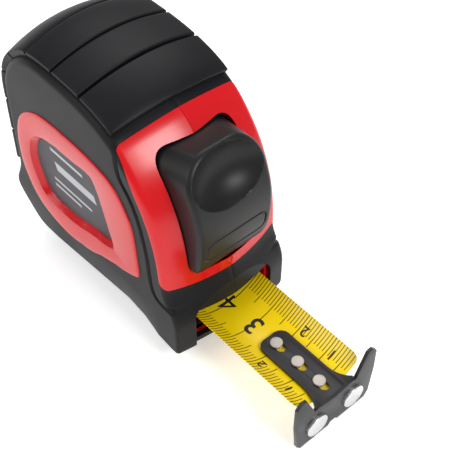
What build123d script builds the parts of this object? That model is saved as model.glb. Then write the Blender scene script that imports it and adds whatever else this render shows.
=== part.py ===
from build123d import *
import os
from math import asin, cos, radians, sin, sqrt

os.makedirs("parts", exist_ok=True)

# Pocket tape measure with its blade drawn out a little.
# Millimetres. The origin is the middle of the flat base. +X is the way the blade comes out,
# +Y the side that carries the belt clip, +Z up.

# ---- case ---------------------------------------------------------------------------------
case_length = 78.0      # over everything, nose to back
case_height = 72.5      # base to the top of the rubber grip
case_width = 38.5       # across the flat sides
crown_radius = 8.0      # rounding of the long edges over the front, top and back
back_radius = 23.0      # rounding of the upper back corner
heel_height = 12.0      # slanted lower back corner
heel_length = 9.0
rubber = 1.6            # overmould on the hard shell
wall = 2.0              # hard shell
grip = 2.0              # the grip bands stand this far out of the overmould
nose_height = 11.5      # upright part of the nose
nose_slope = 10.5       # height of the leaning part above it
nose_lean = 2.8         # how far the leaning part falls back
panel_bulge = 3.2       # how far the front panel has fallen back at its middle
panel_head_setback = 21.0   # top edge of the front panel, behind the nose
panel_head_drop = 7.0   # and below the top of the overmould
panel_wrap = 6.5        # how far the glossy panel reaches round the sides
brow_setback = 34.0     # a point of the top between panel and crest, behind the nose
brow_drop = 1.4         # and below the crest
front_steps = 8         # points that the moved-in front line is drawn through

# ---- side ring and label ------------------------------------------------------------------
ring_proud = 0.4        # ring above the flat sides
ring_corner = 1.8       # rounding of the corners of its outline
window_corner = 1.4
label_thickness = 0.3

# ---- grip ---------------------------------------------------------------------------------
grip_width = 36.6
grip_front_setback = 23.4   # front end of the grip, behind the nose
grip_tail_height = 22.0     # lower end of the grip at the back
groove_width = 1.0
groove_depth = 1.4
groove_step = 26.0      # degrees from groove to groove
groove_first = 36.0     # foremost groove, degrees forward of the vertical
groove_count = 5

# ---- blade and hook -----------------------------------------------------------------------
blade_width = 25.0      # flat width of the steel
blade_thickness = 0.2
blade_curve = 16.4      # radius of its hollow upper face
blade_z = 9.8           # height of the two edges of the drawn-out blade
blade_corner = 2.0
blade_draw = 36.0       # scale's zero in front of the nose, as drawn
blade_pull = 25.0       # modelled pull beyond that
hook_travel = 1.8       # the hook floats by its own thickness with the magnets
hook_thickness = 1.0
hook_half_width = 14.0
hook_above = 5.4        # ears above the blade's edges
hook_below = 15.3       # plate below them
hook_waist = 7.4        # half width between the ears
tongue_half_width = 4.5
tongue_length = 23.9
tongue_corner = 3.0
tongue_flare = 7.0      # length of the widening next to the plate
rivet_pitch = 7.9
rivet_setback = 5.0     # first rivet behind the scale's zero
rivet_head_radius = 1.7
rivet_head_thickness = 0.5
rivet_tail_thickness = 0.35
rivet_shank_radius = 1.2
magnet_radius = 3.5
magnet_spacing = 13.2
magnet_drop = 9.4       # magnet centres below the blade's edges

# ---- mouth --------------------------------------------------------------------------------
mouth_half_width = 13.4
mouth_floor = 4.3
mouth_crown = 18.0      # top of the arch
mouth_side = 11.0       # where the arch springs
lip_underside = 2.7     # the lower lip sits above the base
lip_recess = 3.0        # length of the hollow below it
guide_length = 15.0

# ---- reel ---------------------------------------------------------------------------------
reel_width = 25.4
drum_radius = 17.0
drum_wall = 1.5
drum_web = 1.2
hub_radius = 5.0
post_radius = 3.0
post_socket = 1.0       # depth of its seats in the shells
spring_strip = 0.4
spring_turns = 8

# ---- lock button --------------------------------------------------------------------------
button_width = 24.4
button_bottom = 26.0    # height of its lower edge
button_top = 60.0
button_wall = 2.3
dish_radius = 14.0
dish_depth = 4.2
pivot_setback = 16.5    # lock pin, behind the nose
pivot_height = 27.0
pin_radius = 1.5
arm_inner = 6.2         # the lever's two arms straddle the hook's tongue
arm_outer = 10.0
foot_height = 10.6
foot_setback = 9.8      # middle of the brake pads, behind the nose
foot_length = 3.4
lock_spring_radius = 2.4
lock_spring_wire = 0.5
lock_spring_height = 52.5
lock_spring_pitch = 1.9

# ---- fasteners and clip -------------------------------------------------------------------
screw_radius = 1.3
screw_head_radius = 2.4
screw_head_thickness = 1.5
screw_boss_radius = 2.6
clip_width = 16.0
clip_thickness = 1.0
clip_bend = 1.6         # inner radius of its fold
clip_top = 40.8
clip_bottom = 6.0

# ---- clearances ---------------------------------------------------------------------------
running = 0.08          # radial clearance of a turning fit
slide = 0.1             # hook tongue over the blade
gap = 0.3               # between other things that pass each other

half_length = case_length / 2
half_width = case_width / 2
top_z = case_height - grip
back_x = -half_length + grip
inner_half = half_width - rubber          # outside of the hard shell
hollow_half = inner_half - wall           # inside of the hard shell


def save(piece, name):
    """Label a finished piece and write it."""
    piece.part.label = name
    export_step(piece.part, f"parts/{name}.step")


# ---- side profile of the case, shared by every shell ---------------------------------------
nose_top = (half_length, nose_height)
panel_foot = (half_length - nose_lean, nose_height + nose_slope)
panel_head = (half_length - panel_head_setback, top_z - panel_head_drop)
panel_middle = (half_length - nose_lean - panel_bulge, (panel_foot[1] + panel_head[1]) / 2)
brow = (half_length - brow_setback, top_z - brow_drop)
crest = (back_x + back_radius, top_z)
back_centre = (back_x + back_radius, top_z - back_radius)
heel = (back_x, heel_height)
front_curve = Spline(panel_foot, panel_middle, panel_head, brow, crest,
                     tangents=[(-nose_lean, nose_slope), (-1, 0)])


def moved_in(point, direction, inset):
    """A point moved to the left of a direction, which is into the case."""
    size = sqrt(direction[0] ** 2 + direction[1] ** 2)
    return (point[0] - inset * direction[1] / size, point[1] + inset * direction[0] / size)


def along(point, direction, x=None, z=None):
    """The point of a slanted line at a given x or z."""
    step = (x - point[0]) / direction[0] if z is None else (z - point[1]) / direction[1]
    return (point[0] + step * direction[0], point[1] + step * direction[1])


def case_sketch(inset, plane):
    """The case's outline seen from the side, moved in by inset."""
    lean = (-nose_lean, nose_slope)
    foot = moved_in(panel_foot, lean, inset)
    nose = along(foot, lean, x=half_length - inset)
    sink = (heel_length, -heel_height)
    slant = moved_in(heel, sink, inset)
    heel_top = along(slant, sink, x=back_x + inset)
    heel_base = along(slant, sink, z=inset)
    shares = [step / front_steps for step in range(front_steps + 1)]
    stations = [front_curve @ share for share in shares]
    headings = [front_curve % share for share in shares]
    front = [moved_in((p.X, p.Y), (d.X, d.Y), inset) for p, d in zip(stations, headings)]
    with BuildSketch(plane) as outline:
        with BuildLine():
            Line(heel_base, (half_length - inset, inset))
            Line((half_length - inset, inset), nose)
            Line(nose, foot)
            Spline(*front, tangents=[lean, (-1, 0)])
            CenterArc(back_centre, back_radius - inset, 90, 90)
            Line((back_x + inset, top_z - back_radius), heel_top)
            Line(heel_top, heel_base)
        make_face()
    return outline


def case_form(inset, crown):
    """A solid of the case's outline, with crowned front, top and back edges."""
    with BuildPart() as form:
        extrude(case_sketch(inset, Plane.XZ.offset(inset - half_width)).sketch,
                amount=2 * (half_width - inset), dir=(0, -1, 0))
        sides = form.faces().filter_by(Axis.Y)
        rim = sides.edges().filter_by(lambda edge: edge.center().Z > nose_height + wall)
        fillet(rim, radius=crown)
    return form.part


def side_prism(points, near, far, corner):
    """A flat piece with a rounded outline on the sides, from Y = near to Y = far."""
    with BuildPart() as prism:
        with BuildSketch(Plane.XZ.offset(-far)) as outline:
            with BuildLine():
                Polyline(*points, close=True)
            make_face()
            fillet(outline.vertices(), radius=corner)
        extrude(amount=far - near)
    return prism.part


outer_form = case_form(0, crown_radius)
inner_form = case_form(rubber, crown_radius - rubber)
hollow_form = case_form(rubber + wall, crown_radius - rubber - wall)
grip_form = case_form(-grip, crown_radius + grip)

# the glossy front panel is the shell coming up flush through the rubber
with BuildPart() as panel_prism:
    with BuildSketch(Plane.XZ.offset(-half_width)):
        with BuildLine():
            head_in = (panel_head[0] - 1.0, panel_head[1] - panel_wrap)
            foot_in = (panel_foot[0] - panel_wrap, panel_foot[1] + 3.5)
            middle_in = (panel_middle[0] - panel_wrap - 0.5, panel_middle[1])
            Line(foot_in, (half_length + grip, panel_foot[1] - 3.5))
            Line((half_length + grip, panel_foot[1] - 3.5), (half_length + grip, case_height))
            Line((half_length + grip, case_height), (panel_head[0] - 0.7, case_height))
            Line((panel_head[0] - 0.7, case_height), head_in)
            ThreePointArc(head_in, middle_in, foot_in)
        make_face()
    extrude(amount=case_width)

# ---- reel position ------------------------------------------------------------------------
trough_z = blade_z - blade_curve * (1 - cos(blade_width / 2 / blade_curve))
curve_z = trough_z + blade_curve            # centre line of the blade's hollow
blade_half = blade_curve * sin(blade_width / 2 / blade_curve)
room_up = (top_z - rubber - wall - 2 * gap - blade_z - 2 * gap) / 2
room_along = (half_length - pivot_setback - 5.0 - back_x - rubber - wall - gap) / 2
coil_radius = min(room_up, room_along) - 1.5
reel_x = back_x + rubber + wall + 2 * gap + coil_radius
reel_z = blade_z + 2 * gap + coil_radius

# ---- outlines on the sides ----------------------------------------------------------------
ring_outline = [
    (22.3, 19.8), (20.9, 38.8), (16.9, 45.6), (12.9, 48.9), (-2.4, 51.2), (-18.0, 51.0),
    (-27.0, 45.0), (-30.5, 36.0), (-30.5, 24.0), (-25.0, 13.0), (-10.3, 9.1), (8.3, 15.3),
]
window_outline = [
    (10.8, 22.6), (5.2, 40.4), (3.0, 42.2), (-16.0, 42.2), (-22.0, 38.0), (-24.0, 30.0),
    (-20.0, 18.4), (-10.1, 17.7),
]
ring_face = half_width + ring_proud
label_seat = inner_half

# ---- fastener places ----------------------------------------------------------------------
pivot_x = half_length - pivot_setback
screw_reach = back_radius - crown_radius + 1.0
screw_inset = crown_radius - 1.0
screw_places = [
    (back_centre[0] - screw_reach * sin(radians(50)), back_centre[1] + screw_reach * cos(radians(50))),
    (back_x + screw_inset, 15.0),
    (half_length - 20.0, 15.5),
    (panel_head[0] - 5.4, panel_head[1] - 5.3),
]


def rods(places, radius, near, far):
    """Round bars along Y at each (x, z), from Y = near to Y = far."""
    with BuildPart() as bars:
        with BuildSketch(Plane.XZ.offset(-far)):
            with Locations(*places):
                Circle(radius)
        extrude(amount=far - near)
    return bars.part


# ---- openings of the case -----------------------------------------------------------------
# mouth: an arch right through the nose, with a hollow under the lower lip
with BuildPart() as mouth_cut:
    with BuildSketch(Plane.YZ.offset(half_length - 2 * (rubber + wall))):
        with BuildLine():
            Line((-mouth_half_width, mouth_floor), (mouth_half_width, mouth_floor))
            Line((mouth_half_width, mouth_floor), (mouth_half_width, mouth_side))
            ThreePointArc((mouth_half_width, mouth_side), (0, mouth_crown),
                          (-mouth_half_width, mouth_side))
            Line((-mouth_half_width, mouth_side), (-mouth_half_width, mouth_floor))
        make_face()
    extrude(amount=2 * (rubber + wall) + grip)
    with BuildSketch(Plane.YZ.offset(half_length - lip_recess)):
        with Locations((0, lip_underside / 2)):
            Rectangle(2 * mouth_half_width, lip_underside)
    extrude(amount=lip_recess + grip)

# window that the lock button works in
window_top = button_top
window_back = pivot_x - 5.5     # leaves the partition of the lock spring standing
with BuildPart() as button_cut:
    with BuildSketch(Plane.YZ.offset(window_back)):
        with Locations((0, (button_bottom + window_top) / 2)):
            Rectangle(button_width + 2 * gap, window_top - button_bottom + 2 * gap)
    extrude(amount=half_length + grip - window_back)

# ---- hard shells --------------------------------------------------------------------------
rib_thickness = 1.2
rib_x = window_back - rib_thickness     # front of the partition behind the lock spring
rib_height = 9.5
rib_below = 4.0             # it starts this far below the spring's middle
with BuildPart() as panel_rise:
    add(outer_form)
    add(panel_prism.part, mode=Mode.INTERSECT)

with BuildPart() as shell:
    add(inner_form)
    add(panel_rise.part)
    for side in (-1, 1):
        near, far = sorted((side * (inner_half - wall / 2), side * ring_face))
        add(side_prism(ring_outline, near, far, ring_corner))
    for side in (-1, 1):
        near, far = sorted((side * inner_half, side * (ring_face + 1)))
        add(side_prism(window_outline, near, far, window_corner), mode=Mode.SUBTRACT)
    add(hollow_form, mode=Mode.SUBTRACT)
    add(rods(screw_places, screw_boss_radius, -hollow_half - 0.5, hollow_half + 0.5))
    # partition that the lock spring leans on
    with BuildSketch(Plane.XY.offset(lock_spring_height - rib_below)):
        with Locations((rib_x - rib_thickness / 2, 0)):
            Rectangle(rib_thickness, 2 * hollow_half + 1.0)
    extrude(amount=rib_height)
    add(mouth_cut.part, mode=Mode.SUBTRACT)
    add(button_cut.part, mode=Mode.SUBTRACT)
    # seats of the reel post and the lock pin, screw holes and their counterbores
    add(rods([(reel_x, reel_z)], post_radius, -hollow_half - post_socket,
             hollow_half + post_socket), mode=Mode.SUBTRACT)
    add(rods([(reel_x, reel_z)], screw_radius, 0, ring_face), mode=Mode.SUBTRACT)
    add(rods([(pivot_x, pivot_height)], pin_radius, -hollow_half - post_socket,
             hollow_half + post_socket), mode=Mode.SUBTRACT)
    add(rods(screw_places, screw_radius, -hollow_half, half_width), mode=Mode.SUBTRACT)
    add(rods(screw_places, screw_head_radius, inner_half - screw_head_thickness,
             half_width + 1), mode=Mode.SUBTRACT)

for name, keep in (("case_left", Keep.BOTTOM), ("case_right", Keep.TOP)):
    with BuildPart() as half:
        add(shell.part)
        split(bisect_by=Plane.ZX, keep=keep)
    save(half, name)

# ---- rubber overmould ---------------------------------------------------------------------
with BuildPart() as skin:
    add(outer_form)
    add(inner_form, mode=Mode.SUBTRACT)
    add(panel_prism.part, mode=Mode.SUBTRACT)
    add(side_prism(ring_outline, -half_width - 1, half_width + 1, ring_corner), mode=Mode.SUBTRACT)
    add(mouth_cut.part, mode=Mode.SUBTRACT)
    add(button_cut.part, mode=Mode.SUBTRACT)
    add(rods(screw_places, screw_head_radius, 0, half_width + 1), mode=Mode.SUBTRACT)

for name, keep in (("overmould_left", Keep.BOTTOM), ("overmould_right", Keep.TOP)):
    with BuildPart() as half:
        add(skin.part)
        split(bisect_by=Plane.ZX, keep=keep)
    save(half, name)

# ---- grip: one soft pad over the top and back, grooved across --------------------------------
with BuildPart() as top_grip:
    add(grip_form)
    add(outer_form, mode=Mode.SUBTRACT)
    with BuildSketch(Plane.XZ.offset(-grip_width / 2)):
        with BuildLine():
            Polyline((-case_length, grip_tail_height), (back_x + grip, grip_tail_height),
                     back_centre, (half_length - grip_front_setback, case_height - 14.0),
                     (half_length - grip_front_setback, 2 * case_height),
                     (-case_length, 2 * case_height), close=True)
        make_face()
    extrude(amount=grip_width, mode=Mode.INTERSECT)
    with BuildSketch(Plane.XZ.offset(-half_width)):
        for groove in range(groove_count):
            bearing = 90 - groove_first + groove * groove_step
            reach = back_radius + grip - groove_depth
            with Locations(Location((*back_centre, 0), bearing)):
                with Locations((reach + 12.0, 0)):
                    Rectangle(24.0, groove_width)
    extrude(amount=case_width, mode=Mode.SUBTRACT)
save(top_grip, "top_grip")

# ---- labels in the ring windows ------------------------------------------------------------
for name, sign in (("label_left", -1), ("label_right", 1)):
    near, far = sorted((sign * label_seat, sign * (label_seat + label_thickness)))
    with BuildPart() as label:
        add(side_prism(window_outline, near, far, window_corner))
        if sign > 0:
            add(rods([(reel_x, reel_z)], screw_radius, near, far), mode=Mode.SUBTRACT)
    save(label, name)

# ---- blade guide on the floor of the mouth -------------------------------------------------
guide_seat = rubber + wall
with BuildPart() as blade_guide:
    with BuildSketch(Plane.XY.offset(guide_seat)):
        with Locations((half_length - guide_seat - guide_length / 2, 0)):
            Rectangle(guide_length, 2 * mouth_half_width - 1.0)
    extrude(amount=mouth_floor - guide_seat)
save(blade_guide, "blade_guide")

# ---- reel ----------------------------------------------------------------------------------
axle = (reel_x, reel_z)
with BuildPart() as reel_post:
    add(rods([axle], post_radius, -hollow_half - post_socket, hollow_half + post_socket))
    add(rods([axle], screw_radius, hollow_half - 8.0, hollow_half + post_socket),
        mode=Mode.SUBTRACT)
save(reel_post, "reel_post")

reel_half = reel_width / 2
with BuildPart() as reel_drum:
    add(rods([axle], drum_radius, -reel_half, reel_half))
    add(rods([axle], drum_radius - drum_wall, drum_web - reel_half, reel_half),
        mode=Mode.SUBTRACT)
    add(rods([axle], hub_radius, -reel_half, 0))
    add(rods([axle], post_radius + running, -reel_half, reel_half), mode=Mode.SUBTRACT)
save(reel_drum, "reel_drum")

with BuildPart() as drum_cover:
    add(rods([axle], drum_radius - drum_wall, reel_half - drum_web, reel_half))
    add(rods([axle], post_radius + running, reel_half - drum_web, reel_half),
        mode=Mode.SUBTRACT)
save(drum_cover, "drum_cover")

with BuildPart() as blade_coil:
    add(rods([axle], coil_radius, -blade_width / 2, blade_width / 2))
    add(rods([axle], drum_radius, -blade_width / 2, blade_width / 2), mode=Mode.SUBTRACT)
save(blade_coil, "blade_coil")

# power spring: half turns whose radius grows by half the pitch
spring_start = hub_radius + 2 * gap
spring_pitch = (drum_radius - drum_wall - gap - spring_strip - spring_start) / spring_turns
with BuildPart() as power_spring:
    with BuildSketch(Plane.XZ.offset(drum_web + gap - reel_half)):
        with BuildLine():
            for turn in range(2 * spring_turns):
                centre = (reel_x + (turn % 2) * spring_pitch / 2, reel_z)
                radius = spring_start + turn * spring_pitch / 2
                CenterArc(centre, radius, 180 * (turn % 2), 180)
                CenterArc(centre, radius + spring_strip, 180 * (turn % 2), 180)
            last = spring_start + (2 * spring_turns - 1) * spring_pitch / 2
            Line((reel_x + spring_start, reel_z),
                 (reel_x + spring_start + spring_strip, reel_z))
            end_x = reel_x + spring_pitch / 2 + last
            Line((end_x, reel_z), (end_x + spring_strip, reel_z))
        make_face()
    extrude(amount=reel_width - 2 * drum_web - 2 * gap)
save(power_spring, "power_spring")

# ---- drawn-out blade -----------------------------------------------------------------------
scale_zero = half_length + blade_draw
blade_tip = scale_zero - hook_travel - slide
retract = blade_draw - hook_travel - 2 * slide
heel_reach = (rubber + wall) * sqrt(heel_length ** 2 + heel_height ** 2) / heel_height
heel_inside = back_x + heel_length * (1 - trough_z / heel_height) + heel_reach
blade_tail = heel_inside + 2 * gap + retract


def hollow_band(under, over, spread, start):
    """Section of a strip that follows the blade's hollow, between two heights above it."""
    half_angle = asin(spread / blade_curve)
    with BuildSketch(Plane.YZ.offset(start)) as band:
        with BuildLine():
            for lift in (under, over):
                radius = blade_curve - lift
                ThreePointArc(*[(radius * sin(turn), curve_z - radius * cos(turn))
                                for turn in (-half_angle, 0, half_angle)])
            for turn in (-half_angle, half_angle):
                Line(*[((blade_curve - lift) * sin(turn),
                        curve_z - (blade_curve - lift) * cos(turn)) for lift in (under, over)])
        make_face()
    return band.sketch


rivet_places = [(scale_zero - rivet_setback - step * rivet_pitch, 0) for step in range(3)]
with BuildPart() as blade:
    extrude(hollow_band(-blade_thickness, 0, blade_half, blade_tail),
            amount=blade_tip - blade_tail, dir=(1, 0, 0))
    with BuildSketch(Plane.XY):
        with Locations(((blade_tip + blade_tail) / 2, 0)):
            Rectangle(blade_tip - blade_tail, 2 * blade_width)
        with Locations((blade_tip, blade_half), (blade_tip, -blade_half)):
            Rectangle(2 * blade_corner, 2 * blade_corner, rotation=45, mode=Mode.SUBTRACT)
    extrude(amount=case_height, mode=Mode.INTERSECT)
    with BuildSketch(Plane.XY):
        with Locations(*rivet_places):
            Circle(rivet_shank_radius)
    extrude(amount=case_height, mode=Mode.SUBTRACT)
save(blade, "blade")

# ---- rivets that the hook slides on --------------------------------------------------------
tongue_under = slide
tongue_over = slide + hook_thickness
head_z = curve_z - sqrt((blade_curve - tongue_over) ** 2 - rivet_head_radius ** 2) + 2 * running
tail_z = trough_z - blade_thickness
with BuildPart() as blade_rivets:
    with BuildSketch(Plane.XY.offset(tail_z - rivet_tail_thickness)):
        with Locations(*rivet_places):
            Circle(rivet_head_radius)
    extrude(amount=rivet_tail_thickness)
    with BuildSketch(Plane.XY.offset(tail_z)):
        with Locations(*rivet_places):
            Circle(rivet_shank_radius)
    extrude(amount=head_z - tail_z)
    with BuildSketch(Plane.XY.offset(head_z)):
        with Locations(*rivet_places):
            Circle(rivet_head_radius)
    extrude(amount=rivet_head_thickness)
    chamfer(blade_rivets.edges().group_by(Axis.Z)[-1], length=rivet_head_thickness / 3)
save(blade_rivets, "blade_rivets")

# ---- hook: a tongue along the blade and a plate across its end ----------------------------------
plate_top = trough_z + tongue_over
with BuildPart() as hook:
    extrude(hollow_band(tongue_under, tongue_over, hook_waist, scale_zero - tongue_length),
            amount=tongue_length + hook_thickness / 2, dir=(1, 0, 0))
    with BuildSketch(Plane.XY):
        with BuildLine():
            rear = scale_zero - tongue_length
            side = tongue_half_width
            waist = scale_zero - tongue_flare
            bend = scale_zero + hook_thickness
            Line((rear, side - tongue_corner), (rear, tongue_corner - side))
            ThreePointArc((rear, tongue_corner - side),
                          (rear + tongue_corner * 0.293, -side + tongue_corner * 0.293),
                          (rear + tongue_corner, -side))
            Line((rear + tongue_corner, -side), (waist, -side))
            Spline((waist, -side), (scale_zero, 0.6 - hook_waist), tangents=[(1, 0), (1, -0.8)])
            Line((scale_zero, 0.6 - hook_waist), (bend, 0.6 - hook_waist))
            Line((bend, 0.6 - hook_waist), (bend, hook_waist - 0.6))
            Line((bend, hook_waist - 0.6), (scale_zero, hook_waist - 0.6))
            Spline((scale_zero, hook_waist - 0.6), (waist, side), tangents=[(-1, -0.8), (-1, 0)])
            Line((waist, side), (rear + tongue_corner, side))
            ThreePointArc((rear + tongue_corner, side),
                          (rear + tongue_corner * 0.293, side - tongue_corner * 0.293),
                          (rear, side - tongue_corner))
        make_face()
    extrude(amount=case_height, mode=Mode.INTERSECT)
    with BuildSketch(Plane.XY):
        for place in rivet_places:
            with Locations((place[0] + hook_travel / 2, 0)):
                SlotCenterToCenter(hook_travel, 2 * (rivet_shank_radius + running))
    extrude(amount=case_height, mode=Mode.SUBTRACT)
    with BuildSketch(Plane.YZ.offset(scale_zero)):
        with BuildLine():
            top = blade_z + hook_above
            low = blade_z - hook_below
            edge = hook_half_width
            Polyline((0, plate_top), (hook_waist - 1.4, plate_top + 0.9),
                     (hook_waist, plate_top + 0.5), (edge - 3.2, top - 0.3),
                     (edge - 1.6, top), (edge, top - 1.8), (edge, blade_z - 4.5),
                     (edge - 0.9, low + 1.8), (edge - 2.2, low), (1.7, low), (0.9, low + 1.0),
                     (0, low + 1.0))
            mirror(about=Plane.YZ)
        make_face()
    extrude(amount=hook_thickness)
    with BuildSketch(Plane.YZ.offset(scale_zero)):
        with Locations((-magnet_spacing / 2, blade_z - magnet_drop),
                       (magnet_spacing / 2, blade_z - magnet_drop)):
            Circle(magnet_radius + running / 2)
    extrude(amount=hook_thickness, mode=Mode.SUBTRACT)
save(hook, "hook")

with BuildPart() as hook_magnets:
    with BuildSketch(Plane.YZ.offset(scale_zero)):
        with Locations((-magnet_spacing / 2, blade_z - magnet_drop),
                       (magnet_spacing / 2, blade_z - magnet_drop)):
            Circle(magnet_radius)
    extrude(amount=hook_travel)
    chamfer(hook_magnets.edges().group_by(Axis.X)[-1], length=0.3)
save(hook_magnets, "hook_magnets")

# ---- lock button ---------------------------------------------------------------------------
foot_x = half_length - foot_setback
cap_front = half_length - 0.6
cap_back = pivot_x + 1.5
with BuildPart() as lock_button:
    with BuildSketch(Plane.XZ.offset(-button_width / 2)):
        with BuildLine():
            Polyline((pivot_x + 4.0, button_bottom), (cap_front - 2.2, button_bottom))
            Spline((cap_front - 2.2, button_bottom), (cap_front - 0.2, button_bottom + 9.0),
                   (cap_front, button_bottom + 20.0), (cap_front - 2.6, button_top - 4.0),
                   (cap_front - 7.4, button_top + 0.4))
            Polyline((cap_front - 7.4, button_top + 0.4), (pivot_x - 3.5, button_top - 0.8),
                     (cap_back - 1.0, button_top - 8.0), (pivot_x + 4.0, button_bottom))
        make_face()
    extrude(amount=button_width)
    rim = lock_button.faces().filter_by(Axis.Y).edges()
    fillet(rim.filter_by(lambda edge: edge.center().X > cap_front - 4.5), radius=2.0)
    # hollow behind the cap
    with BuildSketch(Plane.YZ.offset(pivot_x - 3.0)):
        with Locations((0, (button_bottom + button_top) / 2)):
            RectangleRounded(button_width - 2 * button_wall,
                             button_top - button_bottom - 2 * button_wall, 2.0)
    extrude(amount=cap_front - dish_depth - button_wall - pivot_x + 3.0, mode=Mode.SUBTRACT)
    # thumb dish: a ball pressed into the upper half
    dish_z = (button_bottom + 17.0 + button_top) / 2
    with Locations((cap_front + dish_radius - dish_depth, 0, dish_z)):
        Sphere(dish_radius, mode=Mode.SUBTRACT)
    # two arms from the cap round the lock pin to the feet over the blade
    for near in (-arm_outer, arm_inner):
        with BuildSketch(Plane.XZ.offset(-near - arm_outer + arm_inner)):
            with BuildLine():
                Polyline((pivot_x - 2.5, pivot_height + 2.5), (pivot_x + 2.0, pivot_height + 5.0),
                         (cap_front - 4.0, pivot_height + 5.0),
                         (cap_front - 4.0, button_bottom + 0.8),
                         (foot_x + foot_length / 2, button_bottom + gap),
                         (foot_x + foot_length / 2, foot_height),
                         (foot_x - foot_length / 2, foot_height),
                         (foot_x - foot_length / 2, foot_height + 3.0),
                         (pivot_x - 2.5, pivot_height - 2.5), close=True)
            make_face()
        extrude(amount=arm_outer - arm_inner)
    add(rods([(pivot_x, pivot_height)], pin_radius + running, -half_width, half_width),
        mode=Mode.SUBTRACT)
save(lock_button, "lock_button")

with BuildPart() as brake_pads:
    for middle in (-(arm_inner + arm_outer) / 2, (arm_inner + arm_outer) / 2):
        with BuildSketch(Plane.XY.offset(trough_z)):
            with Locations((foot_x, middle)):
                Rectangle(foot_length - 0.4, arm_outer - arm_inner - 0.4)
        extrude(amount=foot_height - trough_z)
    with BuildSketch(Plane.YZ.offset(foot_x - foot_length)):
        with Locations((0, curve_z)):
            Circle(blade_curve - gap)
    extrude(amount=2 * foot_length, mode=Mode.INTERSECT)
save(brake_pads, "brake_pads")

with BuildPart() as lock_pin:
    add(rods([(pivot_x, pivot_height)], pin_radius, -hollow_half - post_socket,
             hollow_half + post_socket))
save(lock_pin, "lock_pin")

spring_seat = cap_front - dish_depth - button_wall
spring_length = spring_seat - rib_x - 2 * running - lock_spring_wire
with BuildPart() as lock_spring:
    with BuildLine():
        coils = Helix(lock_spring_pitch, spring_length, lock_spring_radius,
                      center=(rib_x + running + lock_spring_wire / 2, 0, lock_spring_height),
                      direction=(1, 0, 0))
    with BuildSketch(Plane(origin=coils @ 0, z_dir=coils % 0)):
        Circle(lock_spring_wire / 2)
    sweep(is_frenet=True)
save(lock_spring, "lock_spring")

# ---- case screws ---------------------------------------------------------------------------
with BuildPart() as case_screws:
    add(rods(screw_places, screw_radius - running, -hollow_half / 2,
             inner_half - screw_head_thickness))
    add(rods(screw_places, screw_head_radius - running, inner_half - screw_head_thickness,
             inner_half))
    with BuildSketch(Plane.XZ.offset(-inner_half)):
        with Locations(*screw_places):
            RegularPolygon(0.9, 6)
    extrude(amount=0.9, mode=Mode.SUBTRACT)
save(case_screws, "case_screws")

# ---- belt clip on the right side -----------------------------------------------------------
clip_seat = label_seat + label_thickness
clip_outer = clip_seat + clip_thickness + 2 * clip_bend
with BuildPart() as belt_clip:
    with BuildSketch(Plane.YZ.offset(reel_x - clip_width / 2)):
        with BuildLine() as clip_line:
            leg = clip_seat + clip_thickness / 2
            hang = clip_outer + clip_thickness / 2
            FilletPolyline((leg, reel_z - 8.0), (leg, clip_top), (hang, clip_top),
                           (hang, clip_bottom + 12.0), (ring_face + 1.2, clip_bottom + 5.0),
                           (ring_face + 3.4, clip_bottom), radius=1.2)
        trace(line_width=clip_thickness)
    extrude(amount=clip_width)
    with BuildSketch(Plane.XZ.offset(-clip_seat - clip_thickness)):
        with Locations((reel_x, reel_z)):
            Circle(screw_radius)
    extrude(amount=clip_thickness, mode=Mode.SUBTRACT)
    corners = belt_clip.edges().filter_by(Axis.Y)
    fillet(corners.group_by(Axis.Z)[0], radius=2.0)
save(belt_clip, "belt_clip")

with BuildPart() as clip_screw:
    add(rods([axle], screw_radius - running, hollow_half - 5.0, clip_seat + clip_thickness))
    add(rods([axle], screw_head_radius, clip_seat + clip_thickness,
             clip_seat + clip_thickness + screw_head_thickness))
    with BuildSketch(Plane.XZ.offset(-clip_seat - clip_thickness - screw_head_thickness)):
        with Locations((reel_x, reel_z)):
            RegularPolygon(1.1, 6)
    extrude(amount=1.0, mode=Mode.SUBTRACT)
save(clip_screw, "clip_screw")
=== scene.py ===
# %% [markdown]
# # A pocket tape measure
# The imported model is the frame: it holds every part at its real size and place. This script
# adds the looks. It models the visible pieces again with finer shapes, gives every piece a
# material, and sets the light and the camera.

# %% The frame
import math
import bpy
import numpy as np
from mathutils import Matrix, Vector


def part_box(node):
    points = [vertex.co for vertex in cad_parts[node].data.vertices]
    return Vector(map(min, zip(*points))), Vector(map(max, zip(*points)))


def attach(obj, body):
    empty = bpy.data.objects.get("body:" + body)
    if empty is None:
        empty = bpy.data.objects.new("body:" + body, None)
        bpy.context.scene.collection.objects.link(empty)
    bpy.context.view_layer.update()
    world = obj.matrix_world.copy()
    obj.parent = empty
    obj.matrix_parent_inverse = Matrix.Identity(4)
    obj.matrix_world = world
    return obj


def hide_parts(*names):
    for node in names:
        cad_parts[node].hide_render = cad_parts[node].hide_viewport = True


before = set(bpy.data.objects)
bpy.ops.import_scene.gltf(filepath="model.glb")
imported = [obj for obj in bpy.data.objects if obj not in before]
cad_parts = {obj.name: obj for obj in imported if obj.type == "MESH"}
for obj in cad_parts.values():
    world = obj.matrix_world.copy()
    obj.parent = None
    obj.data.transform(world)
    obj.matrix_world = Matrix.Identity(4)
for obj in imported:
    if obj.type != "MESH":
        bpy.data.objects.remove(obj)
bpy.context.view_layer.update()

MM = 0.001


def size_of(node):
    """Lowest and highest corner of a node in millimetres."""
    low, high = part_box(node)
    return low / MM, high / MM


# %% [markdown]
# ## Modelling helpers
# Most visible skins here are sheets: a flat grid primitive is added, and each of its points is
# sent to its place on the tool. A grid keeps even, four-sided faces, so the glossy plastic
# reflects cleanly. Modifiers then give the sheet its wall, and boolean cuts make the openings.

# %% Helpers for objects
def pick_none():
    """Leave nothing selected."""
    bpy.ops.object.select_all(action="DESELECT")


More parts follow.
